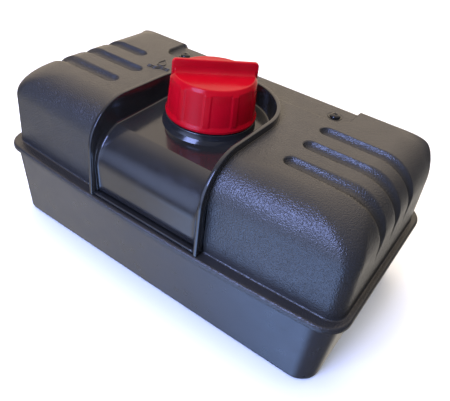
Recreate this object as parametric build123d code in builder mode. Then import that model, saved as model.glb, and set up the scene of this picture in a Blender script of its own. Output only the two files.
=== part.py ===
"""Portable fresh water tank: a moulded tub under a textured cover, filled through a capped neck.

Frame: millimetres, +Z up, +X to the right, the filler channel opens towards -Y.
The origin is the middle of the footprint at the level of the base.
"""

from build123d import *
from math import cos, radians, sin, sqrt
import os

# Lower tub
base_half_length = 187.0
base_front = -93.7
base_back = 101.7
base_bow = 0.4
base_corner = 20.0
base_edge_radius = 4.0
rim_half_length = 193.5
rim_front = -98.0
rim_back = 105.0
rim_bow = 8.0
rim_corner = 24.0
rim_top = 78.5
rim_depth = 4.0
rim_width = 12.0
tub_wall = 3.2

# Seal between tub and cover
seal_inset = 5.0
seal_width = 4.0
seal_depth = 2.0

# Cover flange and textured shell
flange_half_length = 200.0
flange_front = -100.0
flange_back = 108.0
flange_bow = 8.0
flange_corner = 25.0
flange_width = 18.0
flange_edge_radius = 1.2
shelf_top = 84.5
cover_half_length = 193.5
cover_front = -89.5
cover_back = 94.0
cover_bow = 6.5
cover_corner = 15.0
cover_top = 172.0
cover_front_radius = 35.0
cover_end_radius = 37.0
cover_back_radius = 8.0
cover_wall = 3.0

# Grooves over each end of the cover
groove_radius = 8.0
groove_depth = 5.5
groove_centres = (28.0, -5.0, -39.0)
groove_left_ends = (-126.0, -102.0, -102.0)
groove_right_ends = (102.0, 102.0, 102.0)
groove_lean = 14.0
groove_foot = 110.0

# Ledge along the back of the cover
ledge_half_length = 111.0
ledge_front = 51.0
ledge_drop = 4.0
ledge_corner = 13.0
screw_x = 94.0
screw_y = 68.0
screw_shank_radius = 2.5
screw_head_radius = 5.4
screw_head_height = 3.0
washer_radius = 7.0
washer_thickness = 0.8
washer_clearance = 0.2
insert_radius = 4.0
insert_length = 11.0
insert_clearance = 0.05
boss_radius = 7.5
boss_length = 13.0

# Filler channel
channel_half_width = 65.0
channel_rim_width = 4.0
channel_rim_top = 179.0
channel_nose_front = -105.0
channel_nose_back = -97.5
channel_nose_bottom = 80.5
channel_nose_radius = 45.0
channel_floor = 154.5
channel_floor_radius = 36.5
channel_face_front = -100.3
channel_face_foot = -93.5
channel_floor_wall = 3.5
channel_skirt = 10.0
channel_gap = 1.0

# Filler neck and its fastening
neck_y = -9.3
neck_bore_radius = 32.5
neck_radius = 36.0
neck_top = 197.5
neck_bottom = 138.0
collar_top = 163.0
collar_top_radius = 43.6
collar_foot_radius = 44.6
neck_gasket_radius = 46.0
neck_gasket_thickness = 2.0
locknut_radius = 47.0
locknut_height = 8.0
locknut_flats = 12
thread_clearance = 0.1

# Screw cap
cap_bore_radius = 37.4
cap_rim_bottom = 164.2
cap_rim_height = 3.5
cap_rim_radius = 43.2
cap_foot_radius = 41.4
cap_shoulder_radius = 39.6
cap_shoulder = 201.0
cap_top = 204.5
cap_top_radius = 37.3
cap_ceiling = 200.0
cap_rib_count = 10
cap_rib_angle = 9.0
cap_rib_height = 0.8
bar_angle = 42.3
bar_length = 79.0
bar_thickness = 4.6
bar_top = 216.5
bar_corner = 4.0
vent_hole_radius = 1.2
vent_offset = 14.0
vent_radius = 8.0
vent_thickness = 1.2

# Outlet valve, in a pocket under the tub
outlet_y = 60.0
pocket_radius = 32.0
pocket_depth = 24.0
pocket_wall = 3.0
outlet_hole_radius = 12.2
outlet_stem_radius = 12.0
outlet_stem_top = 42.0
outlet_flange_radius = 20.0
outlet_flange_thickness = 3.0
nozzle_radius = 14.0
nozzle_bottom = 5.0
nozzle_bore_radius = 6.0
valve_bore_radius = 9.5
valve_seat = 8.0
spider_bottom = 24.0
spider_thickness = 3.0
spider_hole_radius = 2.2
spider_hole_ring = 6.0
spider_hole_count = 4
poppet_stem_radius = 2.0
poppet_stem_top = 31.0
poppet_clearance = 0.05
poppet_disc_radius = 8.4
poppet_disc_thickness = 2.6
poppet_nose_radius = 5.2
poppet_nose_bottom = 5.6
oring_radius = 7.2
oring_section = 0.9
spring_radius = 4.6
spring_wire_radius = 0.6
spring_turns = 4.0
outlet_gasket_thickness = 2.0
outlet_nut_height = 7.0
outlet_nut_radius = 19.0
strainer_height = 20.0
strainer_wall = 1.5
strainer_slot_count = 12
strainer_slot_width = 2.4

cover_middle = cover_front - cover_bow
bow_radius = (cover_half_length**2 + cover_bow**2) / (2 * cover_bow)
bow_axis = Axis((0, cover_middle + bow_radius, 0), (0, 0, 1))
neck_axis = Axis((0, neck_y, 0), (0, 0, 1))
neck_plane = Plane(origin=(0, neck_y, 0))
neck_section = Plane(origin=(0, neck_y, 0), x_dir=(1, 0, 0), z_dir=(0, -1, 0))
outlet_axis = Axis((0, outlet_y, 0), (0, 0, 1))
outlet_plane = Plane(origin=(0, outlet_y, 0))
outlet_section = Plane(origin=(0, outlet_y, 0), x_dir=(1, 0, 0), z_dir=(0, -1, 0))
ledge_top = cover_top - ledge_drop


def bowed_plan(half_length, front, bow, back, corner, inset=0.0):
    """Rounded plan outline, straight but for a front edge that bows outwards."""
    radius = (half_length**2 + bow**2) / (2 * bow)
    centre = front - bow + radius
    inner_half = half_length - inset
    inner_radius = radius - inset
    front_end = centre - sqrt(inner_radius**2 - inner_half**2)
    front_middle = centre - inner_radius
    with BuildSketch() as plan:
        with BuildLine():
            ThreePointArc((-inner_half, front_end), (0, front_middle), (inner_half, front_end))
            Polyline(
                (inner_half, front_end),
                (inner_half, back - inset),
                (-inner_half, back - inset),
                (-inner_half, front_end),
            )
        make_face()
        fillet(plan.vertices(), corner - inset)
    return plan.sketch


def tub_plan(height, inset=0.0):
    """The tub's plan at a height, between its base and its rim."""
    share = height / rim_top
    return bowed_plan(
        base_half_length + share * (rim_half_length - base_half_length),
        base_front + share * (rim_front - base_front),
        base_bow + share * (rim_bow - base_bow),
        base_back + share * (rim_back - base_back),
        base_corner + share * (rim_corner - base_corner),
        inset,
    )


def channel_plan(half_width):
    """U-shaped plan: parallel sides open to the front, half round about the neck."""
    with BuildSketch() as plan:
        with BuildLine():
            Line((-half_width, flange_front * 2), (-half_width, neck_y))
            RadiusArc((-half_width, neck_y), (half_width, neck_y), half_width)
            Polyline(
                (half_width, neck_y),
                (half_width, flange_front * 2),
                (-half_width, flange_front * 2),
            )
        make_face()
    return plan.sketch


def cover_form(inset):
    """The shell's form, drawn in by inset on its sides and top."""
    half_length = cover_half_length - inset
    top = cover_top - inset
    front_middle = cover_middle + inset
    back = cover_back - inset
    end_radius = cover_end_radius - inset
    front_radius = cover_front_radius - inset
    back_radius = cover_back_radius - inset
    plan = bowed_plan(cover_half_length, cover_front, cover_bow, cover_back, cover_corner, inset)
    with BuildPart() as form:
        with BuildSketch(Plane.XY.offset(rim_top)):
            add(plan)
        extrude(amount=top - rim_top)
        with BuildSketch(Plane.XZ) as end_profile:
            with Locations((0, top / 2)):
                Rectangle(2 * half_length, top)
            fillet(end_profile.vertices().group_by(Axis.Y)[-1], end_radius)
        extrude(amount=2 * cover_back, both=True, mode=Mode.INTERSECT)
        with BuildSketch(Plane.YZ) as back_profile:
            with Locations((back / 2 + cover_front, top / 2)):
                Rectangle(back - 2 * cover_front, top)
            fillet(back_profile.vertices().group_by(Axis.X)[-1].sort_by(Axis.Y)[-1], back_radius)
        extrude(amount=2 * half_length, both=True, mode=Mode.INTERSECT)
        with BuildSketch(Plane.YZ) as front_profile:
            with Locations((front_middle + cover_back, top / 2)):
                Rectangle(2 * cover_back, top)
            fillet(front_profile.vertices().group_by(Axis.X)[0].sort_by(Axis.Y)[-1], front_radius)
        revolve(axis=bow_axis, mode=Mode.INTERSECT)
    return form.part


def end_groove(centre, inner_end, radius):
    """Ball-nosed cutter path over one end: along the top, round the shoulder and down the face."""
    side = inner_end / abs(inner_end)
    lift = groove_radius - groove_depth
    level = cover_top + lift
    turn = cover_end_radius + lift
    turn_x = side * (cover_half_length - cover_end_radius)
    turn_z = cover_top - cover_end_radius
    lean = radians(groove_lean)
    half_way = radians(90 - groove_lean) / 2
    leave = (side * turn * cos(lean) + turn_x, turn * sin(lean) + turn_z)
    fall = leave[1] - groove_foot
    with BuildPart() as cutter:
        with BuildLine(Plane((0, centre, 0), x_dir=(1, 0, 0), z_dir=(0, -1, 0))) as path:
            Line((inner_end, level), (turn_x, level))
            ThreePointArc(
                (turn_x, level),
                (turn_x + side * turn * sin(half_way), turn_z + turn * cos(half_way)),
                leave,
            )
            Line(leave, (leave[0] + side * fall * sin(lean), groove_foot))
        start = Vector(inner_end, centre, level)
        with BuildSketch(Plane(origin=start, z_dir=(side, 0, 0))):
            Circle(radius)
        sweep(path=path.wire())
        with Locations(start):
            Sphere(radius)
    return cutter.part


def groove_set(radius):
    """All the end grooves' cutters, with the given section radius."""
    starts = list(zip(groove_centres, groove_left_ends)) + list(zip(groove_centres, groove_right_ends))
    return [end_groove(centre, inner_end, radius) for centre, inner_end in starts]


def channel_band(depth):
    """Side profile of the channel below its floor line, from the rim down to a depth under the floor."""
    radius = channel_floor_radius - depth
    turn_y = channel_face_front + channel_floor_radius
    turn_z = channel_floor - channel_floor_radius
    nose_turn = channel_nose_front + channel_nose_radius
    nose_drop = channel_rim_top - channel_nose_radius
    back = neck_y + channel_half_width
    with BuildSketch() as band:
        with BuildLine():
            Line((back, channel_rim_top), (nose_turn, channel_rim_top))
            RadiusArc(
                (nose_turn, channel_rim_top), (channel_nose_front, nose_drop), -channel_nose_radius
            )
            Polyline(
                (channel_nose_front, nose_drop),
                (channel_nose_front, channel_nose_bottom),
                (channel_nose_back, channel_nose_bottom),
                (channel_nose_back, shelf_top),
                (channel_face_foot + depth, shelf_top),
                (channel_face_front + depth, turn_z),
            )
            RadiusArc(
                (channel_face_front + depth, turn_z), (turn_y, channel_floor - depth), radius
            )
            Polyline(
                (turn_y, channel_floor - depth),
                (back, channel_floor - depth),
                (back, channel_rim_top),
            )
        make_face()
    return band.sketch


def channel_air():
    """Side profile of the open space over the channel's floor and before its face."""
    reach = 2 * flange_front
    turn_y = channel_face_front + channel_floor_radius
    turn_z = channel_floor - channel_floor_radius
    with BuildSketch() as air:
        with BuildLine():
            RadiusArc(
                (channel_face_front, turn_z), (turn_y, channel_floor), channel_floor_radius
            )
            Polyline(
                (turn_y, channel_floor),
                (flange_back, channel_floor),
                (flange_back, bar_top),
                (reach, bar_top),
                (reach, 0),
                (channel_face_foot, 0),
                (channel_face_foot, shelf_top),
                (channel_face_front, turn_z),
            )
        make_face()
    return air.sketch


# Lower tub: tapered walls, an inward rim with the seal groove, and the outlet pocket
with BuildPart() as tub_void:
    with BuildSketch(Plane.XY.offset(tub_wall)):
        add(tub_plan(tub_wall, tub_wall))
    with BuildSketch(Plane.XY.offset(rim_top - rim_depth)):
        add(tub_plan(rim_top - rim_depth, tub_wall))
    loft(ruled=True)
    with BuildSketch(Plane.XY.offset(rim_top - rim_depth)):
        add(tub_plan(rim_top, rim_width))
    extrude(amount=rim_depth)
    with BuildSketch(outlet_plane):
        Circle(pocket_radius + pocket_wall)
    extrude(amount=pocket_depth + pocket_wall, mode=Mode.SUBTRACT)

with BuildPart() as lower_tank:
    with BuildSketch():
        add(tub_plan(0))
    with BuildSketch(Plane.XY.offset(rim_top)):
        add(tub_plan(rim_top))
    loft(ruled=True)
    fillet(lower_tank.faces().sort_by(Axis.Z)[0].edges(), base_edge_radius)
    add(tub_void.part, mode=Mode.SUBTRACT)
    with BuildSketch(Plane.XY.offset(rim_top - seal_depth)):
        add(tub_plan(rim_top, seal_inset))
        add(tub_plan(rim_top, seal_inset + seal_width), mode=Mode.SUBTRACT)
    extrude(amount=seal_depth, mode=Mode.SUBTRACT)
    with BuildSketch(outlet_plane):
        Circle(pocket_radius)
    extrude(amount=pocket_depth, mode=Mode.SUBTRACT)
    with BuildSketch(outlet_plane):
        Circle(outlet_hole_radius)
    extrude(amount=pocket_depth + pocket_wall, mode=Mode.SUBTRACT)

with BuildPart() as seam_seal:
    with BuildSketch(Plane.XY.offset(rim_top - seal_depth)):
        add(tub_plan(rim_top, seal_inset))
        add(tub_plan(rim_top, seal_inset + seal_width), mode=Mode.SUBTRACT)
    extrude(amount=seal_depth)

# Upper cover: a shell on a flange, with the U-shaped opening, end grooves and the back ledge
with BuildPart() as cover_void:
    add(cover_form(cover_wall))
    with BuildSketch(Plane.XY.offset(ledge_top - cover_wall)) as raised:
        with Locations((0, ledge_front + cover_back)):
            Rectangle(2 * (ledge_half_length + cover_wall), 2 * (cover_back + cover_wall))
        fillet(raised.vertices().group_by(Axis.Y)[0], ledge_corner + cover_wall)
    extrude(amount=cover_top, mode=Mode.SUBTRACT)
    with BuildSketch(Plane.XY.offset(ledge_top - boss_length)):
        with Locations((-screw_x, screw_y), (screw_x, screw_y)):
            Circle(boss_radius)
    extrude(amount=boss_length, mode=Mode.SUBTRACT)
    add(groove_set(groove_radius + cover_wall), mode=Mode.SUBTRACT)

with BuildPart() as cover_flange:
    with BuildSketch(Plane.XY.offset(rim_top)):
        add(bowed_plan(flange_half_length, flange_front, flange_bow, flange_back, flange_corner))
    extrude(amount=shelf_top - rim_top)
    fillet(cover_flange.faces().sort_by(Axis.Z)[-1].edges(), flange_edge_radius)
    with BuildSketch(Plane.XY.offset(rim_top)):
        add(
            bowed_plan(
                flange_half_length, flange_front, flange_bow, flange_back, flange_corner, flange_width
            )
        )
    extrude(amount=shelf_top - rim_top, mode=Mode.SUBTRACT)

with BuildPart() as upper_cover:
    add(cover_form(0))
    add(groove_set(groove_radius), mode=Mode.SUBTRACT)
    with BuildSketch(Plane.XY.offset(ledge_top)) as lowered:
        with Locations((0, ledge_front + cover_back)):
            Rectangle(2 * ledge_half_length, 2 * cover_back)
        fillet(lowered.vertices().group_by(Axis.Y)[0], ledge_corner)
    extrude(amount=cover_top, mode=Mode.SUBTRACT)
    add(cover_void.part, mode=Mode.SUBTRACT)
    with BuildSketch(Plane.XY.offset(shelf_top)):
        add(channel_plan(channel_half_width + channel_gap))
    extrude(amount=cover_top, mode=Mode.SUBTRACT)
    add(cover_flange.part)
    with BuildSketch(Plane.XY.offset(channel_nose_bottom)):
        with Locations(
            (-channel_half_width + channel_rim_width / 2, (channel_nose_front + channel_nose_back) / 2),
            (channel_half_width - channel_rim_width / 2, (channel_nose_front + channel_nose_back) / 2),
        ):
            Rectangle(channel_rim_width, channel_nose_back - channel_nose_front)
    extrude(amount=shelf_top - channel_nose_bottom, mode=Mode.SUBTRACT)
    with BuildSketch(Plane.XY.offset(ledge_top - washer_thickness)):
        with Locations((-screw_x, screw_y), (screw_x, screw_y)):
            Circle(washer_radius + washer_clearance)
    extrude(amount=washer_thickness, mode=Mode.SUBTRACT)
    with BuildSketch(Plane.XY.offset(ledge_top - washer_thickness - insert_length)):
        with Locations((-screw_x, screw_y), (screw_x, screw_y)):
            Circle(insert_radius)
    extrude(amount=insert_length, mode=Mode.SUBTRACT)

# Filler channel: raised U-shaped rim, side skirts, floor and front face
with BuildPart() as filler_channel:
    with BuildSketch():
        add(channel_plan(channel_half_width))
    extrude(amount=channel_rim_top)
    with BuildSketch(Plane.YZ):
        add(channel_band(channel_skirt))
    extrude(amount=channel_half_width, both=True, mode=Mode.INTERSECT)
    with BuildSketch():
        add(channel_plan(channel_half_width - channel_rim_width))
    extrude(amount=channel_rim_top, mode=Mode.SUBTRACT)
    with BuildSketch(Plane.YZ):
        add(channel_band(channel_floor_wall))
        add(channel_air(), mode=Mode.SUBTRACT)
    extrude(amount=channel_half_width - channel_rim_width, both=True)
    with BuildSketch():
        add(channel_plan(channel_half_width))
    extrude(amount=channel_rim_top, mode=Mode.INTERSECT)
    with BuildSketch(neck_plane):
        Circle(neck_radius)
    extrude(amount=channel_rim_top, mode=Mode.SUBTRACT)

with BuildPart() as channel_seal:
    add(cover_form(0.3))
    add(cover_form(cover_wall), mode=Mode.SUBTRACT)
    with BuildSketch(Plane.XY.offset(shelf_top)):
        add(channel_plan(channel_half_width + channel_gap))
        add(channel_plan(channel_half_width), mode=Mode.SUBTRACT)
    extrude(amount=cover_top, mode=Mode.INTERSECT)

# Filler neck with its flared collar, clamped through the channel floor
with BuildPart() as filler_neck:
    with BuildSketch(neck_section):
        with BuildLine():
            Polyline(
                (neck_bore_radius, neck_bottom),
                (neck_radius, neck_bottom),
                (neck_radius, channel_floor),
                (collar_foot_radius, channel_floor),
                (collar_top_radius, collar_top),
                (neck_radius, collar_top),
                (neck_radius, neck_top),
                (neck_bore_radius, neck_top),
                close=True,
            )
        make_face()
    revolve(axis=neck_axis)

floor_underside = channel_floor - channel_floor_wall
with BuildPart() as neck_gasket:
    with BuildSketch(neck_plane.offset(floor_underside - neck_gasket_thickness)):
        Circle(neck_gasket_radius)
        Circle(neck_radius, mode=Mode.SUBTRACT)
    extrude(amount=neck_gasket_thickness)

with BuildPart() as neck_locknut:
    with BuildSketch(neck_plane.offset(floor_underside - neck_gasket_thickness - locknut_height)):
        RegularPolygon(locknut_radius, locknut_flats)
        Circle(neck_radius + thread_clearance, mode=Mode.SUBTRACT)
    extrude(amount=locknut_height)

# Screw cap: ribbed skirt over a rim flange, with a finger bar across the top
with BuildPart() as cap_rib:
    with BuildSketch(Plane.XZ):
        with BuildLine():
            Polyline(
                (cap_bore_radius + cap_rib_height, cap_rim_bottom + cap_rim_height),
                (cap_foot_radius + cap_rib_height, cap_rim_bottom + cap_rim_height),
                (cap_shoulder_radius + cap_rib_height, cap_shoulder),
                (cap_top_radius + cap_rib_height, cap_shoulder),
                close=True,
            )
        make_face()
    revolve(axis=Axis.Z, revolution_arc=cap_rib_angle)

with BuildPart(neck_plane) as screw_cap:
    with BuildSketch(neck_section):
        with BuildLine():
            Polyline(
                (0, cap_ceiling),
                (cap_bore_radius, cap_ceiling),
                (cap_bore_radius, cap_rim_bottom),
                (cap_rim_radius, cap_rim_bottom),
                (cap_rim_radius, cap_rim_bottom + cap_rim_height),
                (cap_foot_radius, cap_rim_bottom + cap_rim_height),
                (cap_shoulder_radius, cap_shoulder),
                (cap_top_radius, cap_top),
                (0, cap_top),
                close=True,
            )
        make_face()
    revolve(axis=neck_axis)
    with PolarLocations(0, cap_rib_count, start_angle=bar_angle):
        add(cap_rib.part)
    bar_plane = Plane(
        origin=(0, neck_y, 0),
        x_dir=(cos(radians(bar_angle)), sin(radians(bar_angle)), 0),
        z_dir=(sin(radians(bar_angle)), -cos(radians(bar_angle)), 0),
    )
    with BuildSketch(bar_plane) as bar:
        with Locations((0, (cap_ceiling + bar_top) / 2)):
            Rectangle(bar_length, bar_top - cap_ceiling)
        fillet(bar.vertices().group_by(Axis.Y)[-1], bar_corner)
    extrude(amount=bar_thickness / 2, both=True)
    with BuildSketch(neck_plane.offset(cap_ceiling)):
        with Locations((-vent_offset, vent_offset)):
            Circle(vent_hole_radius)
    extrude(amount=cap_top, mode=Mode.SUBTRACT)

with BuildPart() as cap_gasket:
    with BuildSketch(neck_plane.offset(neck_top)):
        Circle(cap_bore_radius)
        Circle(neck_bore_radius, mode=Mode.SUBTRACT)
    extrude(amount=cap_ceiling - neck_top)

with BuildPart(neck_plane) as vent_filter:
    with BuildSketch(neck_plane.offset(cap_ceiling - vent_thickness)):
        with Locations((-vent_offset, vent_offset)):
            Circle(vent_radius)
    extrude(amount=vent_thickness)

# Ledge fasteners, one pair of each
ledge_places = ((-screw_x, screw_y), (screw_x, screw_y))
washer_seat = ledge_top - washer_thickness
screw_length = washer_thickness + insert_length
with BuildPart() as ledge_screws:
    with BuildSketch(Plane.XY.offset(ledge_top)):
        with Locations(*ledge_places):
            Circle(screw_head_radius)
    extrude(amount=screw_head_height)
    fillet(ledge_screws.faces().group_by(Axis.Z)[-1].edges(), screw_head_height - 0.4)
    with BuildSketch(Plane.XY.offset(ledge_top - screw_length)):
        with Locations(*ledge_places):
            Circle(screw_shank_radius)
    extrude(amount=screw_length)

with BuildPart() as ledge_washers:
    with BuildSketch(Plane.XY.offset(washer_seat)):
        with Locations(*ledge_places):
            Circle(washer_radius)
            Circle(screw_shank_radius + washer_clearance, mode=Mode.SUBTRACT)
    extrude(amount=washer_thickness)

with BuildPart() as ledge_inserts:
    with BuildSketch(Plane.XY.offset(washer_seat - insert_length)):
        with Locations(*ledge_places):
            Circle(insert_radius)
            Circle(screw_shank_radius + insert_clearance, mode=Mode.SUBTRACT)
    extrude(amount=insert_length)

# Outlet valve: flanged nozzle with a spring-loaded poppet
outlet_flange_bottom = pocket_depth - outlet_flange_thickness
with BuildPart() as outlet_body:
    with BuildSketch(outlet_section):
        with BuildLine():
            Polyline(
                (nozzle_bore_radius, nozzle_bottom),
                (nozzle_radius, nozzle_bottom),
                (nozzle_radius, outlet_flange_bottom),
                (outlet_flange_radius, outlet_flange_bottom),
                (outlet_flange_radius, pocket_depth),
                (outlet_stem_radius, pocket_depth),
                (outlet_stem_radius, outlet_stem_top),
                (valve_bore_radius, outlet_stem_top),
                (valve_bore_radius, valve_seat),
                (nozzle_bore_radius, valve_seat),
                close=True,
            )
        make_face()
    revolve(axis=outlet_axis)
    with BuildSketch(outlet_plane.offset(spider_bottom)):
        Circle(valve_bore_radius)
        Circle(poppet_stem_radius + poppet_clearance, mode=Mode.SUBTRACT)
        with PolarLocations(spider_hole_ring, spider_hole_count):
            Circle(spider_hole_radius, mode=Mode.SUBTRACT)
    extrude(amount=spider_thickness)

with BuildPart() as outlet_gasket:
    with BuildSketch(outlet_plane.offset(pocket_depth + pocket_wall)):
        Circle(outlet_nut_radius)
        Circle(outlet_hole_radius, mode=Mode.SUBTRACT)
    extrude(amount=outlet_gasket_thickness)

with BuildPart() as outlet_locknut:
    with BuildSketch(outlet_plane.offset(pocket_depth + pocket_wall + outlet_gasket_thickness)):
        RegularPolygon(outlet_nut_radius, 6)
        Circle(outlet_stem_radius + thread_clearance, mode=Mode.SUBTRACT)
    extrude(amount=outlet_nut_height)

seal_face = valve_seat + 2 * oring_section
disc_top = seal_face + poppet_disc_thickness
with BuildPart() as outlet_poppet:
    with BuildSketch(outlet_section):
        with BuildLine():
            Polyline(
                (0, poppet_nose_bottom),
                (poppet_nose_radius, poppet_nose_bottom),
                (poppet_nose_radius, seal_face),
                (poppet_disc_radius, seal_face),
                (poppet_disc_radius, disc_top),
                (poppet_stem_radius, disc_top),
                (poppet_stem_radius, poppet_stem_top),
                (0, poppet_stem_top),
                close=True,
            )
        make_face()
    revolve(axis=outlet_axis)

with BuildPart() as poppet_oring:
    with BuildSketch(outlet_section):
        with Locations((oring_radius, valve_seat + oring_section)):
            Circle(oring_section)
    revolve(axis=outlet_axis)

spring_space = spider_bottom - disc_top - 2 * spring_wire_radius
with BuildPart() as outlet_spring:
    with BuildLine():
        coil = Helix(
            pitch=spring_space / spring_turns,
            height=spring_space,
            radius=spring_radius,
            center=(0, outlet_y, disc_top + spring_wire_radius),
        )
    with BuildSketch(Plane(origin=coil @ 0, z_dir=coil % 0)):
        Circle(spring_wire_radius)
    sweep()

# Strainer: a slotted cup over the top of the valve's stem
strainer_top = outlet_stem_top + strainer_height
with BuildPart() as outlet_strainer:
    with BuildSketch(outlet_plane.offset(outlet_stem_top)):
        Circle(outlet_stem_radius)
        Circle(outlet_stem_radius - strainer_wall, mode=Mode.SUBTRACT)
    extrude(amount=strainer_height)
    with BuildSketch(outlet_plane.offset(strainer_top - strainer_wall)):
        Circle(outlet_stem_radius)
    extrude(amount=strainer_wall)
    with BuildSketch(outlet_plane.offset(outlet_stem_top + strainer_wall)):
        with PolarLocations(outlet_stem_radius, strainer_slot_count):
            Rectangle(4 * strainer_wall, strainer_slot_width)
    extrude(amount=strainer_height - 3 * strainer_wall, mode=Mode.SUBTRACT)

pieces = {
    "lower_tank": lower_tank,
    "seam_seal": seam_seal,
    "upper_cover": upper_cover,
    "filler_channel": filler_channel,
    "channel_seal": channel_seal,
    "filler_neck": filler_neck,
    "neck_gasket": neck_gasket,
    "neck_locknut": neck_locknut,
    "screw_cap": screw_cap,
    "cap_gasket": cap_gasket,
    "vent_filter": vent_filter,
    "ledge_screws": ledge_screws,
    "ledge_washers": ledge_washers,
    "ledge_inserts": ledge_inserts,
    "outlet_body": outlet_body,
    "outlet_gasket": outlet_gasket,
    "outlet_locknut": outlet_locknut,
    "outlet_poppet": outlet_poppet,
    "poppet_oring": poppet_oring,
    "outlet_spring": outlet_spring,
    "outlet_strainer": outlet_strainer,
}
os.makedirs("parts", exist_ok=True)
for name, piece in pieces.items():
    piece.part.label = name
    export_step(piece.part, f"parts/{name}.step")
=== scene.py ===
"""Looks of the fresh water tank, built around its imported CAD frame, in millimetres unless said otherwise."""

import math

import bmesh
import bpy
import numpy as np
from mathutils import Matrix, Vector


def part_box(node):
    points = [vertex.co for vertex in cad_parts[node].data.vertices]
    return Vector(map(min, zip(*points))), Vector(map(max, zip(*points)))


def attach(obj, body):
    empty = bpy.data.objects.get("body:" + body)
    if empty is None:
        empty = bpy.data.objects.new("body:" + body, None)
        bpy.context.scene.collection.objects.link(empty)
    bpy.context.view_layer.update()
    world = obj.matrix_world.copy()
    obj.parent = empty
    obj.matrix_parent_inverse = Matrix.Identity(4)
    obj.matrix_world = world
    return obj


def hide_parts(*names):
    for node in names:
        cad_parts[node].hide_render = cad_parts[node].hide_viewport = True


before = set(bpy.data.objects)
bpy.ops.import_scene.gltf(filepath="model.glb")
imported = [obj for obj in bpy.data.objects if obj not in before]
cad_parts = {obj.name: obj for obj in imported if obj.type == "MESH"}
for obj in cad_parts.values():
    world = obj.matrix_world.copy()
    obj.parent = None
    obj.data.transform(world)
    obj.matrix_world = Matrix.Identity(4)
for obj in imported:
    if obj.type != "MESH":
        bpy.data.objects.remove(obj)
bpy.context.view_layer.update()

MM = 0.001


def box_mm(node):
    """Lowest and highest corner of a CAD node, in millimetres."""
    low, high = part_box(node)
    return np.array(low) / MM, np.array(high) / MM


cover_low, cover_high = box_mm("upper_cover")
channel_low, channel_high = box_mm("filler_channel")
neck_low, neck_high = box_mm("filler_neck")
cap_low, cap_high = box_mm("screw_cap")
tub_low, tub_high = box_mm("lower_tank")

# Flange and lip of the cover
RIM_TOP = cover_low[2]
COVER_TOP = cover_high[2]
SHELF_TOP = RIM_TOP + 6.0
FLANGE_HALF = cover_high[0]
FLANGE_FRONT = cover_low[1]
FLANGE_BACK = cover_high[1]
FLANGE_BOW = 8.0
FLANGE_CORNER = 25.0
LIP_TOP_RADIUS = 2.6
LIP_FOOT_RADIUS = 1.0
TUB_CORNER = 24.0
# Rows of points up the shell's wall, over its shoulder and over its top
OUTER_ROWS = (18, 26, 84)
INNER_ROWS = (6, 12, 24)
SEAM_WIDTH = 6.0

# Grained shell of the cover
SHELL_HALF = FLANGE_HALF - 6.5
SHELL_FRONT = FLANGE_FRONT + 12.0
SHELL_BACK = FLANGE_BACK - 14.0
SHELL_BOW = 6.5
SHELL_CORNER = 15.0
SHELL_WALL = 3.0
FRONT_RADIUS = 35.0
END_RADIUS = 37.0
BACK_RADIUS = 8.0
TOP_CORNER = 34.0
FOOT_FILLET = 1.6

# Grooves over the ends: centre, and where each starts on the right and on the left
GROOVE_RADIUS = 8.0
GROOVE_DEPTH = 5.5
GROOVE_FOOT = 117.0
GROOVE_SOFTNESS = 0.6
GROOVES = ((28.0, 105.0, 126.0), (-5.0, 105.0, 102.0), (-39.0, 105.0, 102.0))

# Ledge and screws
LEDGE_HALF = 111.0
LEDGE_FRONT = 51.0
LEDGE_DROP = 4.0
LEDGE_CORNER = 13.0
SCREW_X = 94.0
SCREW_Y = 68.0
SCREW_RADIUS = 5.4
SCREW_HEIGHT = 3.0
HEAD_EDGE = 0.4
RECESS_DEPTH = 1.3
RECESS_ARM = (0.35, 0.75)
RECESS_REACH = (2.0, 2.6)
# The recess is turned by the angle whose cosine and sine these are
RECESS_COS = 0.8
RECESS_SIN = 0.6
SHANK_RADIUS = 2.5
SHANK_LENGTH = 12.0
DIMPLE_RADIUS = 8.5
DIMPLE_DEPTH = 1.2

# Emblem
EMBLEM_X = -92.0
EMBLEM_Y = 27.0
EMBLEM_TURN = 20.0
EMBLEM_STROKE = 0.65
DROP_WIDTH = 6.0
DROP_HEIGHT = 8.0
RIPPLES = (-12.0, -15.5)
RIPPLE_HALF = 12.0
RIPPLE_HEIGHT = 0.9
RIPPLE_LENGTH = 2.2

# Filler channel
NECK_Y = (neck_low[1] + neck_high[1]) / 2
CHANNEL_HALF = channel_high[0]
RIM_WIDTH = 4.0
RIM_EDGE = 1.1
RIM_HIGH = channel_high[2]
NOSE_FRONT = channel_low[1]
NOSE_BOTTOM = channel_low[2]
NOSE_RADIUS = 45.0
FLOOR_RADIUS = 36.5
FACE_FRONT = -100.3
FACE_FOOT = -98.0
FACE_TOP = 118.0
SILL_TOP = SHELF_TOP + 3.5
SILL_FRONT = -103.6
SILL_EDGE = 1.0
SILL_STEPS = 25
CREASE_SLOPE = 18.0
FLOOR_SLOPE = 2.4
WALL_FOOT = 58.5
FLOOR_FILLET = 2.4
FLOOR_WALL = 3.5
SKIRT = 8.0
BEAD_OFFSET = 0.15
BEAD_RADIUS = 0.55

# Neck
BORE_RADIUS = 32.5
NECK_RADIUS = 36.0
COLLAR_TOP = 163.0
COLLAR_RADIUS = 43.0
COLLAR_FOOT = 46.2
COLLAR_FLARE = 157.2
COLLAR_FLARE_DROP = 3.3
COLLAR_BOTTOM = 149.0
NECK_EDGE = 1.0
THREAD_HEIGHT = 1.0
THREAD_PITCH = 4.0
THREAD_STARTS = 3
THREAD_LOW = 169.0
THREAD_HIGH = 192.0
THREAD_FADE = 2.5

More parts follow.
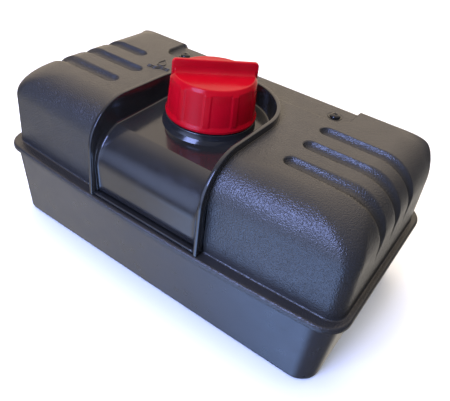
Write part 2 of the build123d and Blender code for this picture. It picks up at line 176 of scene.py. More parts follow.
# Screw cap
CAP_FOOT_Z = cap_low[2]
CAP_RIM = cap_high[0]
CAP_BORE = 37.4
BORE_CHAMFER = 0.6
CEILING_RING = 20.0
CAP_CEILING = 200.0
RIM_FOOT_EDGE = 0.9
RIM_TOP_EDGE = 1.0
RIM_TOP_CENTRE = 2.4
CAP_SKIRT_FOOT = 41.4
SKIRT_RISE = 5.8
CAP_SHOULDER = 39.6
CAP_SHOULDER_Z = 200.6
CAP_TOP = 204.5
CAP_TOP_RADIUS = 37.3
VENT_X = -14.0
VENT_Y = 14.0
VENT_RADIUS = 1.2
RIB_COUNT = 10
RIB_TURN = 9.0
RIB_HEIGHT = 0.8
RIB_SOFTNESS = 0.9
RIB_FOOT = CAP_FOOT_Z + 4.0
RIB_FADE = 2.5
RIB_END_FADE = 1.6
BAR_TURN = 42.3
BAR_HALF = 39.5
BAR_THICKNESS = 4.6
BAR_TOP = cap_high[2]
BAR_CORNER = 4.0
BAR_FLARE = 6.0
BAR_EDGE = 1.1
BAR_END_EDGE = 1.2
BAR_MIDDLE = 33.0
BAR_END = 34.0
BAR_SINK = 0.05
BAR_END_SINK = 3.6


def smooth_step(value, low, high):
    """0 below low, 1 above high, and a smooth rise between them."""
    t = np.clip((value - low) / (high - low), 0, 1)
    return t * t * (3 - 2 * t)


def soft_max(value, softness):
    """value where it is positive, 0 where it is negative, with a rounded bend between."""
    return (value + np.sqrt(value * value + softness * softness)) / 2


def add_mesh(name, points, faces):
    """A new object in the scene, from points in millimetres."""
    mesh = bpy.data.meshes.new(name)
    mesh.from_pydata((np.asarray(points) * MM).tolist(), [], faces)
    obj = bpy.data.objects.new(name, mesh)
    bpy.context.scene.collection.objects.link(obj)
    return obj


def mesh_object(name, points, faces, body, material):
    """A smooth-shaded object from points in millimetres, riding on a CAD body."""
    obj = add_mesh(name, points, faces)
    mesh = obj.data
    bm = bmesh.new()
    bm.from_mesh(mesh)
    bmesh.ops.remove_doubles(bm, verts=bm.verts, dist=0.002 * MM)
    bmesh.ops.dissolve_degenerate(bm, edges=bm.edges, dist=0.001 * MM)
    bmesh.ops.recalc_face_normals(bm, faces=bm.faces)
    bm.to_mesh(mesh)
    bm.free()
    mesh.shade_smooth()
    mesh.materials.append(material)
    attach(obj, body)
    return obj


def grid_faces(rows, columns, wrap=True, start=0, close=False):
    """Quads over a grid numbered row by row; wrap joins its ends, close joins its first and last rows."""
    faces = []
    last = columns if wrap else columns - 1
    for row in range(rows if close else rows - 1):
        for column in range(last):
            a = start + row * columns + column
            b = start + row * columns + (column + 1) % columns
            c = start + (row + 1) % rows * columns + (column + 1) % columns
            d = start + (row + 1) % rows * columns + column
            faces.append((a, b, c, d))
    return faces


def end_faces(total, count):
    """The two faces that close a run of rings, each with count points, numbered from 0 to total."""
    return [tuple(range(count))[::-1], tuple(range(total - count, total))]


def lathe(profile, steps, centre=(0.0, 0.0), bump=None, close=False):
    """Points and faces of a surface of revolution; bump(angles, z) adds to the radius."""
    angles = np.linspace(0, 2 * math.pi, steps, endpoint=False)
    rows = []
    for radius, z in profile:
        r = radius + (bump(angles, z) if bump and radius > 0 else 0)
        x = centre[0] + r * np.cos(angles)
        y = centre[1] + r * np.sin(angles)
        rows.append(np.stack([x, y, np.full(steps, float(z))], 1))
    return np.concatenate(rows), grid_faces(len(profile), steps, close=close)


def arc_points(centre, radius, start, end, count):
    """Points of an arc in a plane, angles in degrees."""
    angles = np.radians(np.linspace(start, end, count))
    return [(centre[0] + radius * math.cos(a), centre[1] + radius * math.sin(a)) for a in angles]


def line_points(start, end, count):
    """Points along a line, without its last one."""
    return [tuple(np.array(start) * (1 - t) + np.array(end) * t) for t in np.arange(count) / count]


def tube(path, radius, sides, closed=False):
    """Points and faces of a round tube along a path."""
    path = np.asarray(path, float)
    if closed:
        tangents = np.roll(path, -1, 0) - np.roll(path, 1, 0)
    else:
        tangents = np.gradient(path, axis=0)
    tangents /= np.linalg.norm(tangents, axis=1)[:, None]
    side = np.cross(tangents, (0.0, 0.0, 1.0))
    flat = np.linalg.norm(side, axis=1) < 1e-3
    side[flat] = (1.0, 0.0, 0.0)
    side /= np.linalg.norm(side, axis=1)[:, None]
    rise = np.cross(side, tangents)
    angles = np.linspace(0, 2 * math.pi, sides, endpoint=False)
    ring = side[:, None] * np.cos(angles)[None, :, None] + rise[:, None] * np.sin(angles)[None, :, None]
    points = (path[:, None] + radius * ring).reshape(-1, 3)
    faces = grid_faces(len(path), sides, close=closed)
    if not closed:
        faces += end_faces(len(points), sides)
    return points, faces


# ---------------------------------------------------------------- materials


def new_material(name):
    """An empty node material and its shader."""
    material = bpy.data.materials.new(name)
    material.use_nodes = True
    return material, material.node_tree, material.node_tree.nodes["Principled BSDF"]


def add_node(tree, kind, **settings):
    """A node with its inputs set by name."""
    node = tree.nodes.new(kind)
    for key, value in settings.items():
        node.inputs[key.replace("_", " ")].default_value = value
    return node


def noise(tree, scale, detail=2.0, roughness=0.5):
    """Noise over the object's own coordinates, which are metres."""
    place = tree.nodes.new("ShaderNodeTexCoord")
    node = add_node(tree, "ShaderNodeTexNoise", Scale=scale, Detail=detail, Roughness=roughness)
    tree.links.new(place.outputs["Object"], node.inputs["Vector"])
    return node


def ramp(tree, source, low, high, at=(0.3, 0.7)):
    """A colour ramp between two grey or coloured values."""
    node = tree.nodes.new("ShaderNodeValToRGB")
    node.color_ramp.elements[0].position = at[0]
    node.color_ramp.elements[1].position = at[1]
    node.color_ramp.elements[0].color = (*low, 1)
    node.color_ramp.elements[1].color = (*high, 1)
    tree.links.new(source, node.inputs["Fac"])
    return node


def plastic(name, dark, light, rough, grain=None, specular=0.5, coat=0.0, tint_scale=14.0):
    """Moulded plastic: two close colours, uneven gloss, and grain as (scale, height in metres, detail)."""
    material, tree, shader = new_material(name)
    tint = ramp(tree, noise(tree, tint_scale, 4.0).outputs["Fac"], dark, light)
    tree.links.new(tint.outputs["Color"], shader.inputs["Base Color"])
    gloss = ramp(tree, noise(tree, 60.0, 5.0).outputs["Fac"], (rough[0],) * 3, (rough[1],) * 3)
    tree.links.new(gloss.outputs["Color"], shader.inputs["Roughness"])
    shader.inputs["Specular IOR Level"].default_value = specular
    shader.inputs["Coat Weight"].default_value = coat
    shader.inputs["Coat Roughness"].default_value = 0.12
    if grain:
        scale, height, detail = grain
        bump = add_node(tree, "ShaderNodeBump", Strength=1.0, Distance=height)
        tree.links.new(noise(tree, scale, detail).outputs["Fac"], bump.inputs["Height"])
        tree.links.new(bump.outputs["Normal"], shader.inputs["Normal"])
    return material


def metal(name, dark, light, rough, grain):
    """Bare metal with fine marks."""
    material = plastic(name, dark, light, rough, grain)
    material.node_tree.nodes["Principled BSDF"].inputs["Metallic"].default_value = 1.0
    return material


COVER = plastic(
    "cover_grained", (0.015, 0.0145, 0.0145), (0.020, 0.019, 0.019), (0.28, 0.36), (950.0, 0.00045, 0.5)
)
TUB = plastic(
    "tub_satin", (0.018, 0.018, 0.020), (0.023, 0.023, 0.026), (0.26, 0.34), (160.0, 0.00002, 1.0)
)
GLOSS = plastic(
    "channel_gloss", (0.009, 0.009, 0.010), (0.014, 0.014, 0.015), (0.10, 0.20), (34.0, 0.00010, 1.0)
)
RED = plastic(
    "cap_red",
    (0.30, 0.0015, 0.006),
    (0.36, 0.002, 0.009),
    (0.14, 0.22),
    (700.0, 0.00002, 2.0),
    0.12,
    tint_scale=30.0,
)
RUBBER = plastic(
    "seal_rubber", (0.006, 0.006, 0.006), (0.012, 0.012, 0.012), (0.55, 0.75), (1500.0, 0.00004, 2.0)
)
SCREW = plastic(
    "screw_black", (0.006, 0.006, 0.006), (0.010, 0.010, 0.010), (0.10, 0.18), (900.0, 0.00001, 2.0)
)
VALVE = plastic(
    "valve_black", (0.020, 0.020, 0.022), (0.030, 0.030, 0.032), (0.35, 0.50), (600.0, 0.00003, 2.0)
)
WHITE = plastic(
    "valve_white", (0.62, 0.62, 0.60), (0.72, 0.72, 0.70), (0.30, 0.42), (600.0, 0.00002, 2.0)
)
MEMBRANE = plastic(
    "vent_membrane", (0.60, 0.60, 0.57), (0.78, 0.78, 0.75), (0.80, 0.95), (3000.0, 0.00006, 2.0)
)
BRASS = metal(
    "insert_brass", (0.55, 0.36, 0.13), (0.70, 0.50, 0.20), (0.22, 0.38), (1400.0, 0.00006, 2.0)
)
STEEL = metal(
    "spring_steel", (0.45, 0.45, 0.46), (0.60, 0.60, 0.62), (0.20, 0.34), (1600.0, 0.00002, 2.0)
)

CAD_MATERIALS = {
    "lower_tank": TUB,
    "seam_seal": RUBBER,
    "channel_seal": RUBBER,
    "neck_gasket": RUBBER,
    "neck_locknut": VALVE,
    "cap_gasket": RUBBER,
    "vent_filter": MEMBRANE,
    "ledge_screws": SCREW,
    "ledge_washers": SCREW,
    "ledge_inserts": BRASS,
    "outlet_body": VALVE,
    "outlet_gasket": RUBBER,
    "outlet_locknut": VALVE,
    "outlet_poppet": WHITE,
    "poppet_oring": RUBBER,
    "outlet_spring": STEEL,
    "outlet_strainer": WHITE,
    "filler_neck": GLOSS,
    "filler_channel": GLOSS,
    "screw_cap": RED,
    "upper_cover": COVER,
}
for node_name, material in CAD_MATERIALS.items():
    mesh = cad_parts[node_name].data
    mesh.materials.clear()
    mesh.materials.append(material)


# ---------------------------------------------------------------- cover

SIDE_STEPS = 150
CORNER_STEPS = 22
LONG_STEPS = 240
LOOP = 2 * SIDE_STEPS + 4 * CORNER_STEPS + 2 * LONG_STEPS


def plan_loop(half, front, back, corner, back_corner, centre_y):
    """A plan loop with a bowed front edge, anticlockwise from the right side's front end.

    Gives its points and the outward direction at each.
    """
    bow_radius = centre_y - front
    front_x = half - corner
    front_y = centre_y - math.sqrt((bow_radius - corner) ** 2 - front_x**2)
    back_x = half - back_corner
    back_y = back - back_corner
    bow_half = math.atan2(front_x, centre_y - front_y)
    points, outward = [], []

    def straight(start, end, direction, count):
        for t in np.arange(count) / count:
            points.append(np.array(start) * (1 - t) + np.array(end) * t)
            outward.append(np.array(direction, float))

    def turn(centre, radius, start, end, count):
        for t in np.arange(count) / count:
            angle = start + (end - start) * t
            direction = np.array([math.cos(angle), math.sin(angle)])
            points.append(np.array(centre) + radius * direction)
            outward.append(direction)

    quarter = math.pi / 2
    straight((half, front_y), (half, back_y), (1, 0), SIDE_STEPS)
    turn((back_x, back_y), back_corner, 0, quarter, CORNER_STEPS)
    straight((back_x, back), (-back_x, back), (0, 1), LONG_STEPS)
    turn((-back_x, back_y), back_corner, quarter, 2 * quarter, CORNER_STEPS)
    straight((-half, back_y), (-half, front_y), (-1, 0), SIDE_STEPS)
    turn((-front_x, front_y), corner, 2 * quarter, 3 * quarter - bow_half, CORNER_STEPS)
    turn((0, centre_y), bow_radius, 3 * quarter - bow_half, 3 * quarter + bow_half, LONG_STEPS)
    turn((front_x, front_y), corner, 3 * quarter + bow_half, 4 * quarter, CORNER_STEPS)
    return np.array(points), np.array(outward)


def side_weights():
    """For each point of a loop, how far it belongs to the ends, the front and the back."""
    rise = smooth_step(np.arange(CORNER_STEPS) / CORNER_STEPS, 0, 1)
    fall = 1 - rise
    no_side, all_side = np.zeros(SIDE_STEPS), np.ones(SIDE_STEPS)
    no_long, all_long = np.zeros(LONG_STEPS), np.ones(LONG_STEPS)
    no_corner = np.zeros(CORNER_STEPS)
    end = np.concatenate([all_side, fall, no_long, rise, all_side, fall, no_long, rise])
    back = np.concatenate([no_side, rise, all_long, fall, no_side, no_corner, no_long, no_corner])
    front = np.concatenate([no_side, no_corner, no_long, no_corner, no_side, rise, all_long, fall])
    return end, front, back


END_SHARE, FRONT_SHARE, BACK_SHARE = side_weights()


def bow_centre(half, front, bow):
    """The y of the centre of a front edge's bow."""
    return front + (half**2 + bow**2) / (2 * bow)


SHELL_BOW_CENTRE = bow_centre(SHELL_HALF, SHELL_FRONT, SHELL_BOW)
FLANGE_BOW_CENTRE = bow_centre(FLANGE_HALF, FLANGE_FRONT, FLANGE_BOW)


def shell_row(turn, wall):
    """The shell's loop where its shoulder has turned by an angle from upright, drawn in by wall."""
    inward = 1 - math.cos(turn)
    radii = [radius - wall for radius in (END_RADIUS, FRONT_RADIUS, BACK_RADIUS)]
    draw = [radius * inward + wall for radius in radii]
    corner = SHELL_CORNER - wall + (TOP_CORNER - SHELL_CORNER) * math.sin(turn) ** 2
    points, outward = plan_loop(
        SHELL_HALF - draw[0],
        SHELL_FRONT + draw[1],
        SHELL_BACK - draw[2],
        corner,
        SHELL_CORNER - wall,
        SHELL_BOW_CENTRE,
    )
    radius = END_SHARE * radii[0] + FRONT_SHARE * radii[1] + BACK_SHARE * radii[2]
    z = COVER_TOP - wall - radius * (1 - math.sin(turn))
    normal = np.column_stack([outward * math.cos(turn), np.full(LOOP, math.sin(turn))])
    return np.column_stack([points, z]), normal


def shell_surface(wall, row_counts, foot):
    """Rows of the shell from its foot to the middle of its top, with the outward direction at each point."""
    up_wall, over_shoulder, over_top = row_counts
    rows, normals = [], []
    start, normal = shell_row(0.0, wall)
    for t in np.linspace(0, 1, up_wall, endpoint=False):
        row = start.copy()
        row[:, 2] = foot + (start[:, 2] - foot) * t
        rows.append(row)
        normals.append(normal)
    for t in np.linspace(0, 1, over_shoulder):
        row, normal = shell_row(t * math.pi / 2, wall)
        rows.append(row)
        normals.append(normal)
    top, up = rows[-1], normals[-1]
    depth = (top[:, 1].max() - top[:, 1].min()) / 2
    spine_half = top[:, 0].max() - depth
    spine_y = (top[:, 1].max() + top[:, 1].min()) / 2
    spine = np.column_stack([np.clip(top[:, 0], -spine_half, spine_half), np.full(LOOP, spine_y), top[:, 2]])
    for t in np.linspace(0, 1, over_top + 1)[1:]:
        rows.append(top * (1 - t) + spine * t)
        normals.append(up)
    return rows, normals


def groove_depth(points):
    """How deep the end grooves are at each point."""
    x, y, z = points[:, 0], points[:, 1], points[:, 2]
    shoulder = COVER_TOP - 5.0
    share = np.clip((z - GROOVE_FOOT) / (shoulder - GROOVE_FOOT), -0.6, 1)
    floor_depth = GROOVE_DEPTH * share
    radius = GROOVE_RADIUS * (0.75 + 0.25 * share)
    depth = np.zeros(len(points))
    for centre, right_start, left_start in GROOVES:
        start = np.where(x > 0, right_start, left_start)
        before = np.clip(start - np.abs(x), 0, None)
        across = np.hypot(y - centre, before)
        round_part = np.sqrt(np.clip(radius**2 - across**2, 0, None))
        cut = floor_depth - radius + round_part - 2.0 * np.clip(across - radius, 0, None)
        depth = np.maximum(depth, soft_max(cut, GROOVE_SOFTNESS) * (cut > -4))
    return depth


def ledge_share(points):
    """1 on the lowered back ledge, 0 off it, with a soft step between."""
    x, y = np.abs(points[:, 0]), points[:, 1]
    inside_x = LEDGE_HALF - LEDGE_CORNER - x
    inside_y = y - LEDGE_FRONT - LEDGE_CORNER
    corner = -np.hypot(np.clip(-inside_x, 0, None), np.clip(-inside_y, 0, None))
    inner = np.minimum(np.clip(inside_x, 0, None), np.clip(inside_y, 0, None))
    return smooth_step(corner + inner + LEDGE_CORNER, -0.9, 0.9)


def carve(points, normals):
    """Presses the grooves, the ledge and the screw dimples into the shell."""
    points = points - normals * groove_depth(points)[:, None]
    high = smooth_step(points[:, 2], COVER_TOP - 40, COVER_TOP - 12)
    points[:, 2] -= LEDGE_DROP * ledge_share(points) * high
    for side in (-1, 1):
        away = np.hypot(points[:, 0] - side * SCREW_X, points[:, 1] - SCREW_Y)
        points[:, 2] -= DIMPLE_DEPTH * (1 - smooth_step(away, DIMPLE_RADIUS - 3, DIMPLE_RADIUS)) * high
    return points


def flange_row(inset, z):
    """A loop of the flange, drawn in by inset."""
    points, _ = plan_loop(
        FLANGE_HALF - inset,
        FLANGE_FRONT + inset,
        FLANGE_BACK - inset,
        FLANGE_CORNER - inset,
        FLANGE_CORNER - inset,
        FLANGE_BOW_CENTRE,
    )
    return np.column_stack([points, np.full(LOOP, z)])


def shell_foot_row(outset, z):
    """A loop around the shell's foot, spread out by outset."""
    points, _ = plan_loop(
        SHELL_HALF + outset,
        SHELL_FRONT - outset,
        SHELL_BACK + outset,
        SHELL_CORNER + outset,
        SHELL_CORNER + outset,
        SHELL_BOW_CENTRE,
    )
    return np.column_stack([points, np.full(LOOP, z)])


def extruded_block(name, plan, low, high):
    """A prism used as a cutter, from a plan outline."""
    count = len(plan)
    points = [(x, y, low) for x, y in plan] + [(x, y, high) for x, y in plan]
    return add_mesh(name, points, grid_faces(2, count) + end_faces(2 * count, count))


def cut_away(obj, cutter):
    """Takes the cutter out of an object and bakes the result into its mesh."""
    cut = obj.modifiers.new("cut", "BOOLEAN")
    cut.operation = "DIFFERENCE"
    cut.solver = "EXACT"
    cut.object = cutter
    depsgraph = bpy.context.evaluated_depsgraph_get()
    baked = bpy.data.meshes.new_from_object(obj.evaluated_get(depsgraph))
    obj.modifiers.clear()
    old = obj.data
    obj.data = baked
    bpy.data.meshes.remove(old)
    bpy.data.objects.remove(cutter)


def channel_plan(half):
    """Outline of the channel's U, open to the front."""
    past_front = 2 * FLANGE_FRONT
    return [(half, past_front)] + arc_points((0, NECK_Y), half, 0, 180, 64) + [(-half, past_front)]


def build_cover():
    """The grained cover: a shell with flange, lip, shoulders, grooves and ledge.

    Its rows end in a line along the middle of the top, where not every point meets one opposite.
    """
    outer, outer_normals = shell_surface(0.0, OUTER_ROWS, SHELF_TOP + FOOT_FILLET)
    inner, inner_normals = shell_surface(SHELL_WALL, INNER_ROWS, RIM_TOP)
    outer = [carve(row, normal) for row, normal in zip(outer, outer_normals)]
    inner = [carve(row, normal) for row, normal in zip(inner, inner_normals)]
    rows = inner[::-1]
    for inset, z in arc_points((LIP_FOOT_RADIUS, RIM_TOP + LIP_FOOT_RADIUS), LIP_FOOT_RADIUS, 270, 180, 4):
        rows.append(flange_row(inset, z))
    for inset, z in arc_points((LIP_TOP_RADIUS, SHELF_TOP - LIP_TOP_RADIUS), LIP_TOP_RADIUS, 180, 90, 7):
        rows.append(flange_row(inset, z))
    shelf_outer = flange_row(LIP_TOP_RADIUS + 0.4, SHELF_TOP)
    shelf_inner = shell_foot_row(FOOT_FILLET, SHELF_TOP)
    for t in (0, 0.25, 0.5, 0.75, 0.97):
        rows.append(shelf_outer * (1 - t) + shelf_inner * t)
    for outset, z in arc_points((FOOT_FILLET, SHELF_TOP + FOOT_FILLET), FOOT_FILLET, 270, 195, 5):
        rows.append(shell_foot_row(outset, z))
    rows += outer
    cover = mesh_object(
        "cover_shell", np.concatenate(rows), grid_faces(len(rows), LOOP), "tank", COVER
    )
    plan = channel_plan(CHANNEL_HALF - RIM_WIDTH / 2)
    cut_away(cover, extruded_block("cutter", plan, SHELF_TOP + 0.02, COVER_TOP + 30))
    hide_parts("upper_cover")


def shell_height(x, y):
    """Height of the cover's outer surface over a point of its front or top."""
    inset = SHELL_BOW_CENTRE - SHELL_FRONT - math.hypot(x, y - SHELL_BOW_CENTRE)
    rise = FRONT_RADIUS - min(inset, FRONT_RADIUS)
    z = COVER_TOP - FRONT_RADIUS + math.sqrt(max(FRONT_RADIUS**2 - rise**2, 0))
    return z - LEDGE_DROP * ledge_share(np.array([[x, y, z]]))[0]


def build_channel_seal():
    """The bead of sealant where the channel's wall comes up through the cover."""
    half = CHANNEL_HALF + BEAD_OFFSET
    inset_y = SHELL_BOW_CENTRE - math.sqrt((SHELL_BOW_CENTRE - SHELL_FRONT) ** 2 - half**2)
    turn_y = inset_y + FRONT_RADIUS
    side = line_points((inset_y, SHELF_TOP), (inset_y, COVER_TOP - FRONT_RADIUS), 24)
    side += arc_points((turn_y, COVER_TOP - FRONT_RADIUS), FRONT_RADIUS, 180, 90, 30)
    side += line_points((turn_y + 2, COVER_TOP), (NECK_Y, COVER_TOP), 12)
    path = [(half, y, z) for y, z in side]
    for x, y in arc_points((0, NECK_Y), half, 0, 180, 90):
        path.append((x, y, shell_height(x, y)))
    path += [(-half, y, z) for y, z in side[::-1]]
    points, faces = tube(path, BEAD_RADIUS, 10)
    bead = mesh_object("channel_bead", points, faces, "tank", GLOSS)
    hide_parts("channel_seal")


# ---------------------------------------------------------------- filler channel

LEG_STEPS = 16
NOSE_STEPS = 30
CREASE_STEPS = 5
FLAT_STEPS = 22
BACK_STEPS = 72
FLOOR_COLUMNS = 30
FLOOR_RINGS = 9
FLOOR_HOLE = NECK_RADIUS - 0.5
FACE_OVERHANG = 3.0
CREASE_RADIUS = 2.5
CREASE_RUN = 1.5
FLOOR_TURN_Y = FACE_FRONT + FLOOR_RADIUS
CREASE_Y = FLOOR_TURN_Y - FLOOR_RADIUS * math.sin(math.radians(CREASE_SLOPE))
CREASE_Z = FACE_TOP + FLOOR_RADIUS * math.cos(math.radians(CREASE_SLOPE))


def direction(degrees):
    """Unit vector in the channel's side view, 0 towards the front and 90 upwards."""
    return np.array([-math.cos(math.radians(degrees)), math.sin(math.radians(degrees))])


def on_arc(centre, radius, degrees):
    """A point on an arc in the channel's side view, and the arc's normal there."""
    normal = direction(degrees)
    return centre + radius * normal, normal


def side_stations():
    """Stations from a leg's foot to beside the neck: point and normal of rim, then of floor, as y, z."""
    stations = []
    nose = np.array([NOSE_FRONT + NOSE_RADIUS, RIM_HIGH - NOSE_RADIUS])
    bend = np.array([FLOOR_TURN_Y, FACE_TOP])
    foot, top = np.array([FACE_FOOT, SILL_TOP]), np.array([FACE_FRONT, FACE_TOP])
    for t in np.arange(LEG_STEPS) / LEG_STEPS:
        rim = np.array([NOSE_FRONT, NOSE_BOTTOM + (nose[1] - NOSE_BOTTOM) * t])
        stations.append((rim, direction(0), foot * (1 - t) + top * t, direction(-FACE_OVERHANG * (1 - t))))
    for t in np.arange(NOSE_STEPS + 1) / NOSE_STEPS:
        rim_and_normal = on_arc(nose, NOSE_RADIUS, 90 * t)
        stations.append((*rim_and_normal, *on_arc(bend, FLOOR_RADIUS, (90 - CREASE_SLOPE) * t)))
    crease = np.array([CREASE_Y, CREASE_Z]) - CREASE_RADIUS * direction(90 - CREASE_SLOPE)
    for t in np.arange(1, CREASE_STEPS + 1) / CREASE_STEPS:
        floor_turn = 90 - CREASE_SLOPE + (CREASE_SLOPE - FLOOR_SLOPE) * t
        rim = np.array([nose[0] + CREASE_RUN * t, RIM_HIGH])
        stations.append((rim, direction(90), *on_arc(crease, CREASE_RADIUS, floor_turn)))
    rim_start, floor_start = stations[-1][0], stations[-1][2]
    for t in np.arange(1, FLAT_STEPS + 1) / FLAT_STEPS:
        rim = np.array([rim_start[0] + (NECK_Y - rim_start[0]) * t, RIM_HIGH])
        y = floor_start[0] + (NECK_Y - floor_start[0]) * t
        floor = np.array([y, floor_start[1] + (y - floor_start[0]) * math.tan(math.radians(FLOOR_SLOPE))])
        stations.append((rim, direction(90), floor, direction(90 - FLOOR_SLOPE)))
    return stations


STATIONS = side_stations()
FLOOR_START = STATIONS[-FLAT_STEPS - 1][2]


def floor_height(y):
    """Height of the channel's sloping floor."""
    return FLOOR_START[1] + (y - FLOOR_START[0]) * math.tan(math.radians(FLOOR_SLOPE))


def channel_section():
    """The wall's section: distance from the middle, share of the floor's frame, height over that frame."""
    rim_inner = CHANNEL_HALF - RIM_WIDTH
    section = [(CHANNEL_HALF, 1.0, -SKIRT), (CHANNEL_HALF, 0.5, 0.0)]
    for x, lift in arc_points((CHANNEL_HALF - RIM_EDGE, -RIM_EDGE), RIM_EDGE, 0, 90, 6):
        section.append((x, 0.0, lift))
    for x, lift in arc_points((rim_inner + RIM_EDGE, -RIM_EDGE), RIM_EDGE, 90, 180, 6):
        section.append((x, 0.0, lift))
    for t in (0.2, 0.4, 0.6, 0.8):
        section.append((rim_inner + (WALL_FOOT - rim_inner) * t, t, 0.0))
    for x, lift in arc_points((WALL_FOOT - FLOOR_FILLET, FLOOR_FILLET), FLOOR_FILLET, 0, -90, 8):
        section.append((x, 1.0, lift))
    return section


def underside_section():
    """The same wall's section below, from the floor's edge back out to the skirt."""
    edge = WALL_FOOT - FLOOR_FILLET
    rim_inner = CHANNEL_HALF - RIM_WIDTH
    return [(edge, 1.0, -FLOOR_WALL), (rim_inner, 1.0, -FLOOR_WALL), (rim_inner, 1.0, -SKIRT)]


def station_point(station, share, lift):
    """A point's y, z at a station, between the rim's frame and the floor's."""
    rim, rim_normal, floor, floor_normal = station
    on_rim = rim + (lift if share == 0 else 0) * rim_normal
    on_floor = floor + (lift if share == 1 else 0) * floor_normal
    return on_rim * (1 - share) + on_floor * share


def wall_rows(section):
    """Rows of wall points along the U, from the right leg's foot round the back to the left leg's foot."""
    rows = []
    for station in STATIONS:
        rows.append([(x, *station_point(station, share, lift)) for x, share, lift in section])
    for turn in np.linspace(0, math.pi, BACK_STEPS + 1)[1:-1]:
        row = []
        for x, share, lift in section:
            y = NECK_Y + x * math.sin(turn)
            station = (np.array([y, RIM_HIGH]), direction(90), np.array([y, floor_height(y)]), direction(90))
            row.append((x * math.cos(turn), y, station_point(station, share, lift)[1]))
        rows.append(row)
    for station in STATIONS[::-1]:
        rows.append([(-x, *station_point(station, share, lift)) for x, share, lift in section])
    return rows


def floor_sheet(edge, drop):
    """The floor between its edge points: strips between the legs, then rings in to the neck's hole.

    Gives its points, its faces and the ring of points at the hole.
    """
    edge = np.array(edge)
    front = len(STATIONS) - FLAT_STEPS
    across = np.linspace(0, 1, FLOOR_COLUMNS + 1)
    sides = zip(edge[:front], edge[::-1][:front])
    points = [right * (1 - t) + left * t for right, left in sides for t in across]
    faces = grid_faces(front, FLOOR_COLUMNS + 1, wrap=False)
    border = list(edge[front - 1 : len(edge) - front + 1])
    border += [edge[-front] * (1 - t) + edge[front - 1] * t for t in across[1:-1]]
    border = np.array(border)
    turn = np.arctan2(border[:, 1] - NECK_Y, border[:, 0])
    ring_y = NECK_Y + FLOOR_HOLE * np.sin(turn)
    ring = np.column_stack([FLOOR_HOLE * np.cos(turn), ring_y, floor_height(ring_y) - drop])
    faces += grid_faces(FLOOR_RINGS, len(border), start=len(points))
    for t in np.linspace(0, 1, FLOOR_RINGS):
        points += list(border * (1 - t) + ring * t)
    return points, faces, ring


def build_channel():
    """The glossy channel: U-shaped wall with a rounded rim, drafted inside, and its creased floor."""
    top = channel_section()
    section = top + underside_section()
    rows = wall_rows(section)
    columns = len(section)
    floor_edges = {len(top) - 1, len(top)}
    points = [point for row in rows for point in row]
    faces = grid_faces(len(rows), columns)
    faces = [face for face in faces if not floor_edges <= {v % columns for v in face}]
    faces += end_faces(len(points), columns)
    rings, feet = [], []
    for column, drop in ((len(top) - 1, 0.0), (len(top), FLOOR_WALL)):
        sheet, sheet_faces, ring = floor_sheet([row[column] for row in rows], drop)
        faces += [tuple(v + len(points) for v in face) for face in sheet_faces]
        points += sheet
        rings += list(ring)
        feet += sheet[: FLOOR_COLUMNS + 1]
    faces += grid_faces(2, len(rings) // 2, start=len(points))
    points += rings
    faces += grid_faces(2, FLOOR_COLUMNS + 1, wrap=False, start=len(points))
    points += feet
    channel = mesh_object("channel_moulding", points, faces, "tank", GLOSS)
    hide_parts("filler_channel")


def build_sill():
    """The channel's sill, which lies on the flange between the legs."""
    bottom = SHELF_TOP + 0.05
    back = FACE_FOOT + 4.0
    profile = [(back, bottom), (SILL_FRONT, bottom)]
    profile += arc_points((SILL_FRONT + SILL_EDGE, SILL_TOP - SILL_EDGE), SILL_EDGE, 180, 90, 6)
    profile += [(back, SILL_TOP)]
    half = CHANNEL_HALF - RIM_WIDTH + 0.8
    points = [(x, y, z) for x in np.linspace(-half, half, SILL_STEPS) for y, z in profile]
    faces = grid_faces(SILL_STEPS, len(profile)) + end_faces(len(points), len(profile))
    mesh_object("channel_sill", points, faces, "tank", GLOSS)


# ---------------------------------------------------------------- neck and cap


def thread_bump(angles, z):
    """Height of the neck's three-start thread."""
    turns = (z - THREAD_LOW) / THREAD_PITCH - THREAD_STARTS * angles / (2 * math.pi)
    ridge = smooth_step(np.cos(2 * math.pi * turns), 0.1, 0.9)
    start = smooth_step(z, THREAD_LOW, THREAD_LOW + THREAD_FADE)
    end = 1 - smooth_step(z, THREAD_HIGH - THREAD_FADE, THREAD_HIGH)
    return THREAD_HEIGHT * ridge * start * end


def build_neck():
    """The filler neck: bore, threaded outside, and the collar that seats on the floor."""
    low, high = neck_low[2], neck_high[2]
    edge = NECK_EDGE
    flare_foot = COLLAR_FLARE - COLLAR_FLARE_DROP
    profile = [(NECK_RADIUS, low), (NECK_RADIUS, COLLAR_BOTTOM), (COLLAR_FOOT, COLLAR_BOTTOM)]
    profile += [(COLLAR_FOOT, flare_foot - 0.5), (COLLAR_FOOT - 0.2, flare_foot)]
    profile += [(COLLAR_RADIUS + 0.2, COLLAR_FLARE - 0.3), (COLLAR_RADIUS, COLLAR_FLARE)]
    profile += arc_points((COLLAR_RADIUS - edge, COLLAR_TOP - edge), edge, 0, 90, 6)
    profile += arc_points((NECK_RADIUS + edge, COLLAR_TOP + edge), edge, 270, 180, 5)
    profile += [(NECK_RADIUS, z) for z in np.linspace(THREAD_LOW, THREAD_HIGH, 80)]
    profile += arc_points((NECK_RADIUS - edge, high - edge), edge, 0, 90, 5)
    profile += arc_points((BORE_RADIUS + edge, high - edge), edge, 90, 180, 5)
    profile += [(BORE_RADIUS, low)]

    def bump(angles, z):
        return thread_bump(angles, z) if THREAD_LOW <= z <= THREAD_HIGH else np.zeros(len(angles))

    points, faces = lathe(profile, 180, (0.0, NECK_Y), bump, close=True)
    neck = mesh_object("neck_moulding", points, faces, "tank", GLOSS)
    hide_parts("filler_neck")


